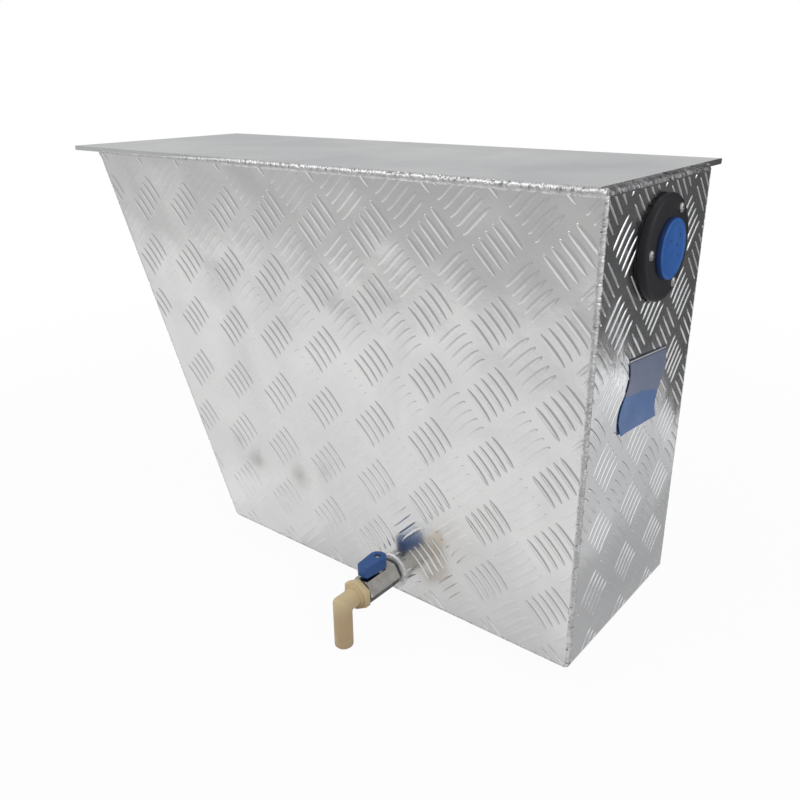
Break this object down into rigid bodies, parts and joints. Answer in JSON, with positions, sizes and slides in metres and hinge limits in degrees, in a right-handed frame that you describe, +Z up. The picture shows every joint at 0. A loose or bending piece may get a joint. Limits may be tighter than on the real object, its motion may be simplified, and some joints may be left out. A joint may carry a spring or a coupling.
{
  "type": "fresh water tank",
  "caption": "Tapered tread-plate aluminium water tank hung from a flanged top plate, with a capped filler in its upright end and a lever ball valve and down spout low in the front.",
  "frame": {"origin": "centre of the top plate's upper face, where the tank bolts up under a tray or bench", "axes": "+Z up, out of the top plate; +X along the tank towards the upright end with the filler; +Y from the tap side to the back"},
  "size_m": [0.6788, 0.326, 0.4268],
  "materials": {
    "plain_aluminium": "plain rolled mill finish",
    "tread_aluminium": "bright rolled five-bar tread",
    "weld_metal": "rippled weld bead",
    "black_nylon": "moulded satin",
    "black_rubber": "matt",
    "stainless_steel": "bright",
    "blue_plastic": "moulded semi-gloss",
    "label_film": "two-tone film, blank",
    "nickel_plate": "nickel plated brass",
    "white_seal_plastic": "waxy white",
    "bare_brass": "turned",
    "beige_nylon": "moulded satin"
  },
  "bodies": {
    "tank": {"top_plate": "plain_aluminium", "wrap_shell": "tread_aluminium", "front_panel": "tread_aluminium", "back_panel": "tread_aluminium", "front_seam_weld": "weld_metal", "back_seam_weld": "weld_metal", "lid_front_weld": "weld_metal", "lid_right_weld": "weld_metal", "lid_left_weld": "weld_metal", "lid_back_weld": "weld_metal", "filler_flange": "black_nylon", "filler_gasket": "black_rubber", "filler_screw_1": "stainless_steel", "filler_screw_2": "stainless_steel", "filler_screw_3": "stainless_steel", "blank_label": "label_film", "outlet_socket": "plain_aluminium", "socket_weld": "weld_metal", "valve_body": "nickel_plate", "inner_seat": "white_seal_plastic", "outer_seat": "white_seal_plastic", "seat_retainer": "bare_brass", "spout_washer": "black_rubber", "spout_elbow": "beige_nylon"},
    "lever": {"valve_lever": "blue_plastic", "lever_screw": "stainless_steel", "valve_stem": "bare_brass", "stem_ring": "black_rubber", "valve_ball": "nickel_plate"},
    "seal": {"cap_seal": "black_rubber"},
    "cap": {"filler_cap": "blue_plastic"}
  },
  "joints": [
    {"name": "lever_turn", "type": "hinge", "parent": "tank", "child": "lever", "pos_m": [0.1416, -0.1452, -0.3818], "axis": [0, 0, -1], "range_deg": [0, 90]},
    {"name": "cap_pull", "type": "slide", "parent": "tank", "child": "seal", "axis": [1, 0, 0], "range_m": [0, 0.06]},
    {"name": "cap_turn", "type": "hinge", "parent": "seal", "child": "cap", "pos_m": [0.3366, -0.0245, -0.0555], "axis": [1, 0, 0], "range_deg": [0, 90]}
  ]
}
